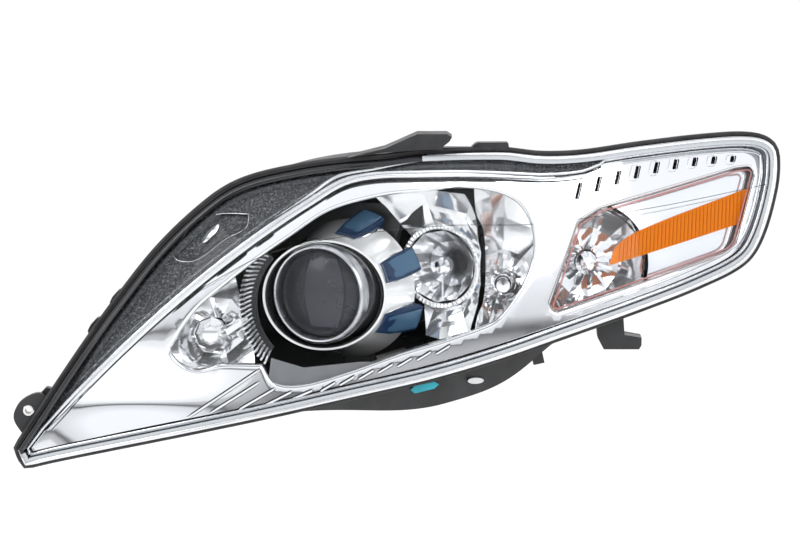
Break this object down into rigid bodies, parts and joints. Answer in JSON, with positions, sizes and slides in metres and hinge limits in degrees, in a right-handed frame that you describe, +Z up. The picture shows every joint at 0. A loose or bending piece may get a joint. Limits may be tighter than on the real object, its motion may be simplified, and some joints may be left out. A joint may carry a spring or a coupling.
{
  "type": "car headlight",
  "caption": "Left-hand car headlight with a levelling and swivelling projector, main beam and bend bowls, amber turn signal and clear swept lens.",
  "frame": {"origin": "mounting point on the upper bracket's top face", "axes": "+X outboard, -Y forward along the beams, +Z up"},
  "size_m": [0.527, 0.4065, 0.2688],
  "materials": {
    "lens_clear": "clear, glossy",
    "glass_smoke": "clear, polished",
    "chrome": "vacuum-metallised, polished",
    "satin_metal": "satin",
    "black_plastic": "moulded, semi-matte",
    "dark_grain": "leather-grained",
    "blue_clear": "tinted, glossy",
    "amber_clear": "tinted, prismatic",
    "rubber": "matte",
    "white_plastic": "moulded",
    "teal_plastic": "moulded"
  },
  "bodies": {
    "housing": {"housing_shell": "black_plastic", "outer_lens": "lens_clear", "lens_sealant": "rubber", "chrome_bezel": "chrome", "dark_bezel": "dark_grain", "marker_reflector": "chrome", "rib_louver": "chrome", "grained_shelf": "dark_grain", "upper_bracket": "black_plastic", "lower_bracket": "black_plastic", "wire_clip": "black_plastic", "tab_bush": "white_plastic", "vent_cap": "rubber", "harness_connector": "black_plastic", "drain_plug": "teal_plastic", "levelling_motor": "black_plastic", "bend_reflector": "chrome", "bend_bulb": "glass_smoke", "bend_bulb_shield": "chrome", "signal_lens": "lens_clear", "amber_bar": "amber_clear", "signal_reflector": "chrome", "position_reflector": "chrome", "position_cap": "chrome"},
    "carrier": {"carrier_frame": "black_plastic", "swivel_pin_upper": "satin_metal", "swivel_pin_lower": "satin_metal", "swivel_motor": "black_plastic", "main_reflector": "chrome", "main_bulb": "glass_smoke", "main_bulb_shield": "chrome"},
    "projector": {"projector_glass": "glass_smoke", "retainer_ring": "satin_metal", "lens_holder": "black_plastic", "barrel_shroud": "chrome", "blue_insert_upper": "blue_clear", "blue_insert_middle": "blue_clear", "blue_insert_lower": "blue_clear", "ellipsoid_reflector": "satin_metal", "shutter_solenoid": "black_plastic", "low_beam_bulb": "glass_smoke"},
    "shutter": {"shutter_flap": "satin_metal"},
    "plunger": {"solenoid_plunger": "satin_metal"},
    "clip": {"bulb_clip": "satin_metal"},
    "swivel_rod": {"swivel_stud": "white_plastic"},
    "level_rod": {"level_stud": "white_plastic"},
    "knob": {"level_knob": "white_plastic"},
    "low_beam_seal_body": {"low_beam_seal": "rubber"},
    "low_beam_cap": {"low_beam_cover": "black_plastic"},
    "main_beam_seal_body": {"main_beam_seal": "rubber"},
    "main_beam_cap": {"main_beam_cover": "black_plastic"},
    "signal_holder": {"signal_socket": "black_plastic", "signal_bulb": "amber_clear"},
    "position_holder": {"position_socket": "black_plastic", "position_bulb": "lens_clear"}
  },
  "joints": [
    {"name": "beam_level", "type": "hinge", "parent": "housing", "child": "carrier", "pos_m": [-0.0725, 0.02056, -0.071], "axis": [1, 0, 0], "range_deg": [-3, 3]},
    {"name": "beam_swivel", "type": "hinge", "parent": "carrier", "child": "projector", "pos_m": [-0.0725, 0.00056, -0.129], "axis": [0, 0, 1], "range_deg": [-3, 3]},
    {"name": "level_stud_slide", "type": "slide", "parent": "housing", "child": "level_rod", "axis": [0, 1, 0], "range_m": [-0.0066, 0.0066]},
    {"name": "level_knob_turn", "type": "hinge", "parent": "housing", "child": "knob", "pos_m": [-0.0365, 0.13056, -0.193], "axis": [0, 1, 0], "range_deg": [-395, 395]},
    {"name": "swivel_stud_slide", "type": "slide", "parent": "carrier", "child": "swivel_rod", "axis": [0, 1, 0], "range_m": [-0.0025, 0.0025]},
    {"name": "shutter_tilt", "type": "hinge", "parent": "projector", "child": "shutter", "pos_m": [-0.0725, 0.00456, -0.151], "axis": [1, 0, 0], "range_deg": [0, 35]},
    {"name": "plunger_slide", "type": "slide", "parent": "projector", "child": "plunger", "axis": [0, 1, 0], "range_m": [0, 0.0034]},
    {"name": "clip_hinge", "type": "hinge", "parent": "projector", "child": "clip", "pos_m": [-0.0725, 0.08656, -0.149], "axis": [-1, 0, 0], "range_deg": [0, 75]},
    {"name": "low_beam_cover_pull", "type": "slide", "parent": "housing", "child": "low_beam_seal_body", "axis": [0, 1, 0], "range_m": [0, 0.04]},
    {"name": "low_beam_cover_twist", "type": "hinge", "parent": "low_beam_seal_body", "child": "low_beam_cap", "pos_m": [-0.0725, 0.13256, -0.129], "axis": [0, 1, 0], "range_deg": [0, 40]},
    {"name": "main_beam_cover_pull", "type": "slide", "parent": "housing", "child": "main_beam_seal_body", "axis": [0, 1, 0], "range_m": [0, 0.04]},
    {"name": "main_beam_cover_twist", "type": "hinge", "parent": "main_beam_seal_body", "child": "main_beam_cap", "pos_m": [0.0055, 0.13056, -0.111], "axis": [0, 1, 0], "range_deg": [0, 40]},
    {"name": "signal_socket_twist", "type": "hinge", "parent": "housing", "child": "signal_holder", "pos_m": [0.08002, 0.13743, -0.111], "axis": [-0.4067, 0.9135, 0], "range_deg": [0, 45]},
    {"name": "position_socket_twist", "type": "hinge", "parent": "housing", "child": "position_holder", "pos_m": [-0.17787, -0.02337, -0.156], "axis": [-0.4067, 0.9135, 0], "range_deg": [0, 45]}
  ],
  "couplings": [
    {"joint": "level_stud_slide", "follows": "beam_level", "m_per_rad": 0.124},
    {"joint": "level_knob_turn", "follows": "beam_level", "ratio": 129.85},
    {"joint": "swivel_stud_slide", "follows": "beam_swivel", "m_per_rad": -0.046},
    {"joint": "plunger_slide", "follows": "shutter_tilt", "m_per_rad": 0.0055}
  ]
}
